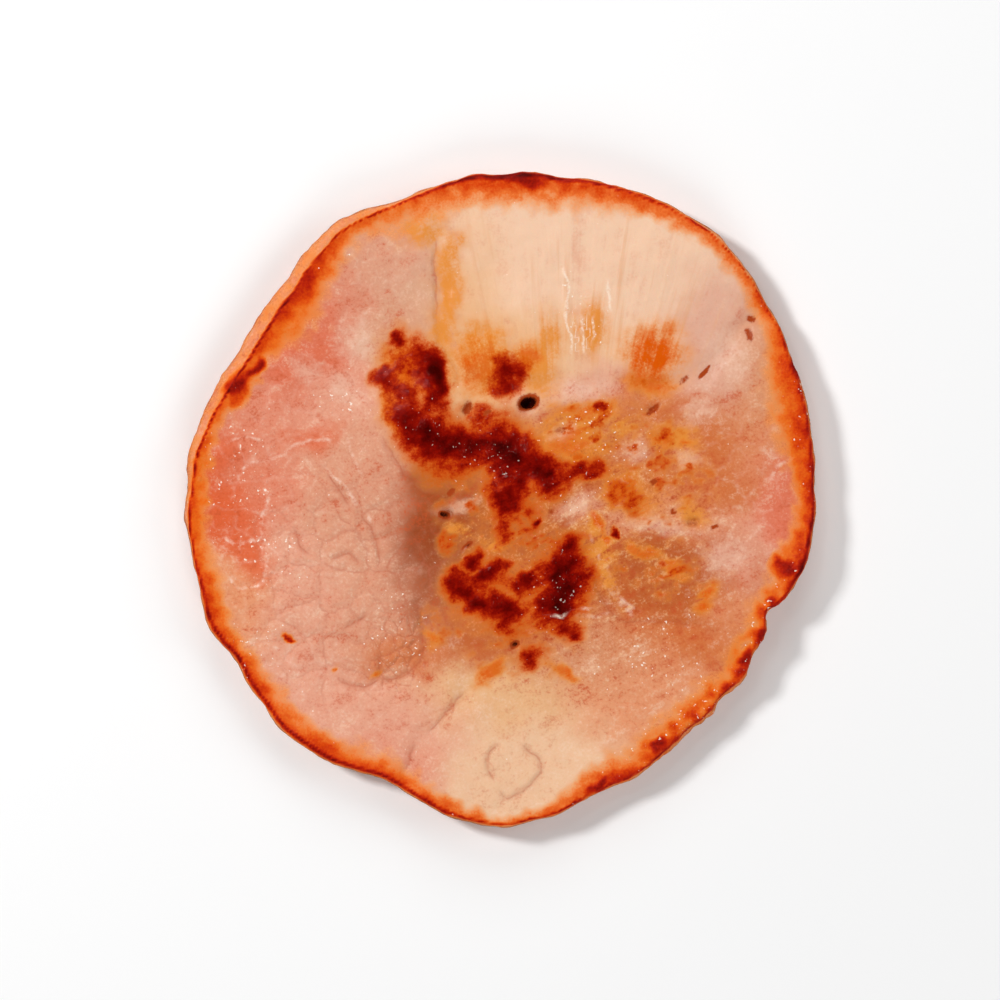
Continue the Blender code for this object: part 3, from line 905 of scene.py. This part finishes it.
def pork_finish():
    material = bpy.data.materials.new("fried_pork")
    material.use_nodes = True
    tree = material.node_tree
    shader = tree.nodes["Principled BSDF"]
    wires = Wire(tree)
    place = vectors("MULTIPLY", wires.node("TexCoord", {}, {}, "Object"), (1 / MM, 1 / MM, 1 / MM))

    blotches = grain(place, 0.35, 3.0, 0.6)
    mottle = grain(place, 0.9, 4.0, 0.65)
    fine = grain(place, 3.0, 3.0, 0.65)
    beads = grain(place, 1.9, 2.0)
    patches = grain(place, 0.5, 2.0)
    glint_grain = grain(place, 2.2, 1.0)
    fibres = field(wires, "fibres")
    gritty = field(wires, "gritty")
    cells = field(wires, "cells")
    tongue = field(wires, "tongue")
    lean = 1 - fibres * 0.65

    # Long grains: along the fan of fibres in the upper muscle, and slanted in the rest.
    fan = place.node("CombineXYZ", {}, {"X": field(wires, "fan_across"), "Y": 0.0})
    fan = vectors("ADD", fan, vectors("MULTIPLY", place, (0.0, 0.05, 0.4)))
    streaks = grain(fan, 0.9, 2.5, 0.6)
    slanted = grain(turned_and_stretched(place, -28, (0.16, 1.0, 1.0)), 0.8, 3.0, 0.6)
    streak = streaks * fibres * 0.8 + slanted * (1 - fibres) * (gritty * 0.7 + 0.4)

    # Muscle cells, larger ones for the webs between bundles, and small ones on the tongue of muscle.
    push = place.node("TexNoise", {}, {"Vector": place, "Scale": 0.35, "Detail": 3.0}, "Color")
    flat = vectors("MULTIPLY", vectors("MULTIPLY_ADD", push, (2.4, 2.4, 0), place), (1, 1, 0))
    muscle_gap = cell_gap(flat, 0.23, 4.3)
    web_gap = cell_gap(flat, 0.3, 3.3)
    tongue_gap = cell_gap(flat, 0.55, 1.8)
    each = (cell_tone(flat, 0.23) * cells + cell_tone(flat, 0.3) * (1 - cells) * lean) * 0.36

    # The lean: its own tone, made paler or ruddier by its grains.
    colour = field(wires, "tone", "Color")
    paleness = field(wires, "tone")
    mixture = mottle * lean + blotches + fine * lean * 1.4 + streak * 1.5 + each
    colour = mixed(mixture.between(0.0, 0.65) * paleness.between(0.1, 0.4) * 0.5, colour, PALE_LEAN)
    ruddy = (mixture * -1).between(0.0, 0.65) * (0.8 - paleness.between(0.4, 0.6) * 0.45)
    colour = mixed(ruddy, colour, RUDDY_LEAN)
    colour = mixed((streaks * fibres).between(0.02, 0.22) * 0.5, colour, TAN_FIBRE)

    # Seams and webs, and a band of painted shade along each seam.
    broken = (mottle * 3 + 0.45).between(0, 1)
    muscle_line = (muscle_gap + fine * 0.2).between(0.3, 0.0) * (blotches * 2 + 0.6).between(0, 1)
    colour = mixed(muscle_line * cells * 0.42, colour, CELL_SEAM)
    tongue_line = (tongue_gap + fine * 0.2).between(0.22, 0.0) * tongue
    colour = mixed(tongue_line * 0.45, colour, TONGUE_SEAM)
    web_line = (web_gap + fine * 0.5).between(0.4, 0.0) * broken * field(wires, "webby")
    colour = mixed(web_line * lean * 0.2, colour, FINE_WEB)
    colour = mixed(line(wires, "web", 0.4, fine * 0.6) * broken * 0.6, colour, THICK_WEB)
    seam = line(wires, "seam", 0.24, fine * 0.3) * (mottle * 3 + 0.7).between(0, 1)
    # A wider band along each seam is painted shade in its groove; the same band sinks the bump there.
    groove_and_shade = line(wires, "seam", 0.7, fine * 0.4)
    colour = mixed(seam * 0.32 + groove_and_shade * 0.2, colour, DARK_SEAM_AND_SHADE)

    # Fat and juices that the pan coloured.
    gold = field(wires, "golden") * (0.9 + patches * 2 * lean + streak * 3 + fine * 1.2)
    colour = mixed(gold.between(0.05, 1.0) * 0.95, colour, YELLOW_FAT)
    orange = field(wires, "orange") * (1 + patches * 1.2 + streak * 2.4 + fine * 1.2)
    colour = mixed(orange.between(0.02, 0.7) * 0.75, colour, LIGHT_ORANGE)
    colour = mixed(orange.between(0.35, 1.1), colour, DEEP_ORANGE)

    # Scorched patches with freckles round them, grit on the bare lean between them, and the toasted skin.
    freckles = field(wires, "freckled") * (0.26 + patches * 1.4 + streak * 0.4)
    scorch = field(wires, "scorch").larger(freckles.math("MINIMUM", freckles, 0.46))
    edges = scorch.between(0.05, 0.35) * (1 - scorch.between(0.6, 1.0) * 0.6)
    scorch = scorch + edges * (mottle * 0.4 + fine * 0.36 + streak * 0.5)
    colour = browned(colour, scorch, SCORCH_STOPS)
    grit = (fine * 0.8 + mottle * 0.8 + streak * 0.6) * gritty * (1 - scorch.between(0.42, 0.6))
    colour = mixed(grit.between(0.02, 0.28) * 0.4, colour, LIGHT_GRIT)
    colour = mixed((grit * -1).between(0.02, 0.3) * 0.42, colour, DARK_GRIT)
    toast = field(wires, "toast")
    toast = toast + toast.between(0.05, 0.3) * (mottle * 0.24 + fine * 0.26)
    colour = browned(colour, toast, TOAST_STOPS)

    # Films, specks, painted glints, painted highlights on ridges, and pores lie over all that.
    film = field(wires, "filmy") * (1 + mottle * 1.5 + fine)
    film = film.between(0.1, 1.1) * (0.46 - scorch.between(0.3, 0.5) * 0.46)
    colour = mixed(film, colour, PALE_FILM)
    specks = (beads * 1.2 + fine * 0.5).between(0.36, 0.44) * lean * 0.16
    colour = mixed(specks, colour, BROWN_SPECK)
    wet = field(wires, "wet")
    # Painted glints: near-white specks stand in for the lamp's glints on the wet face, thickest in the wet
    # places.
    painted_glint = (glint_grain + blotches * 0.3 + wet * 0.12).between(0.3, 0.38)
    colour = mixed(painted_glint * (0.85 - scorch.between(0.4, 0.7) * 0.35), colour, PAINTED_GLINT_WHITE)
    # A painted highlight along the raised fibres.
    ridge = line(wires, "ridge", 0.34, mottle * 0.8) * (fine * 3 + 0.7).between(0, 1)
    colour = mixed(ridge * 0.7, colour, PAINTED_RIDGE_HIGHLIGHT)
    pore = field(wires, "pore") + field(wires, "pore").between(0, 0.2) * fine * 0.5
    colour = mixed(pore.between(0.05, 0.35), colour, PORE_LIP)
    # The nearly black middle of the darkest pores is painted shade in the hole.
    colour = mixed(pore.between(0.55, 0.85), colour, PAINTED_PORE_SHADE)
    tree.links.new(colour.socket, shader.inputs["Base Color"])

    dry = scorch.larger(toast).between(0.4, 0.9)
    roughness = 0.1 + fine.between(-0.3, 0.5) * 0.08 + toast.between(0.1, 0.4) * 0.3
    tree.links.new(roughness.socket, shader.inputs["Roughness"])

    # Relief too fine for the mesh, in millimetres.
    drops = grain(place, 1.7, 1.0)
    damp = grain(place, 0.9, 1.0)
    droplets = (drops + dry * 0.06).between(0.08, 0.34) * (wet * 0.8 + 0.2) * lean
    relief = droplets * 0.06 + damp * 0.05 + streak * (fibres * 0.08 + 0.05)
    relief = relief + fine * 0.03 + dry * mottle * 0.08
    relief = relief + muscle_gap.between(0, 1.2) * cells * 0.14 - groove_and_shade * 0.08
    relief = relief + tongue_gap.between(0, 0.6) * tongue * 0.12
    bump = relief.node("Bump", {}, {"Strength": 1.0, "Distance": MM, "Height": relief}, "Normal")
    tree.links.new(bump.socket, shader.inputs["Normal"])

    shader.inputs["Subsurface Weight"].default_value = 0.1
    shader.inputs["Subsurface Radius"].default_value = (1.0, 0.35, 0.2)
    shader.inputs["Subsurface Scale"].default_value = 0.0012
    shader.inputs["Specular IOR Level"].default_value = 0.4
    shader.inputs["Coat Weight"].default_value = 0.05
    shader.inputs["Coat Roughness"].default_value = 0.06
    return material


fried_slice.data.materials.clear()
fried_slice.data.materials.append(pork_finish())
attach(fried_slice, "root")
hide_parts("bacon_slice")

# The table
# A plain pale tabletop, which isn't part of the object.

TABLE_WIDTH = 3.0


def make_table():
    half = TABLE_WIDTH / 2
    mesh = bpy.data.meshes.new("table")
    corners = [(-half, -half, 0), (half, -half, 0), (half, half, 0), (-half, half, 0)]
    mesh.from_pydata(corners, [], [(0, 1, 2, 3)])
    table = bpy.data.objects.new("table", mesh)
    bpy.context.scene.collection.objects.link(table)
    material = bpy.data.materials.new("pale_table")
    material.use_nodes = True
    shader = material.node_tree.nodes["Principled BSDF"]
    shader.inputs["Base Color"].default_value = (0.94, 0.94, 0.94, 1)
    shader.inputs["Roughness"].default_value = 0.6
    mesh.materials.append(material)
    table.visible_glossy = False


make_table()

# Light and camera
# Soft light from the left and above, fill from the other three sides and a pale sky. Only one small lamp
# glints on the wet face. The camera looks straight down from above the middle of the slice.

CAMERA_LENS = 100
CAMERA_SENSOR = 36
PICTURE_WIDTH = 0.132
SLICE_TOP = cad_box[1][2]
SKY_STRENGTH = 0.12

# Lamps: name, place and width in metres, power in watts, and whether it glints on the wet face.
LAMPS = (
    ("window", (-0.42, 0.22, 0.44), 0.1, 2.8, False),
    ("spark", (-0.2, 0.2, 0.56), 0.04, 0.12, True),
    ("front_fill", (0.1, -0.6, 0.4), 0.4, 1.92, False),
    ("right_fill", (0.6, 0.1, 0.42), 0.4, 1.44, False),
    ("back_fill", (0.0, 0.62, 0.4), 0.4, 1.63, False),
)


def add_lamp(name, place, width, power, glints):
    """A square lamp aimed at the slice."""
    light = bpy.data.lights.new(name, "AREA")
    light.size = width
    light.energy = power
    lamp = bpy.data.objects.new(name, light)
    lamp.location = place
    lamp.rotation_euler = (-Vector(place)).to_track_quat("-Z", "Y").to_euler()
    lamp.visible_glossy = glints
    bpy.context.scene.collection.objects.link(lamp)


def add_camera():
    lens = bpy.data.cameras.new("camera")
    lens.lens = CAMERA_LENS
    lens.sensor_width = CAMERA_SENSOR
    camera = bpy.data.objects.new("camera", lens)
    camera.location = (0, 0, SLICE_TOP + PICTURE_WIDTH * CAMERA_LENS / CAMERA_SENSOR)
    bpy.context.scene.collection.objects.link(camera)
    bpy.context.scene.camera = camera


for lamp in LAMPS:
    add_lamp(*lamp)
add_camera()
sky = bpy.data.worlds.new("sky")
sky.use_nodes = True
sky.node_tree.nodes["Background"].inputs["Color"].default_value = (1, 1, 1, 1)
sky.node_tree.nodes["Background"].inputs["Strength"].default_value = SKY_STRENGTH
sky.cycles_visibility.glossy = False
bpy.context.scene.world = sky
bpy.context.scene.view_settings.view_transform = "Standard"
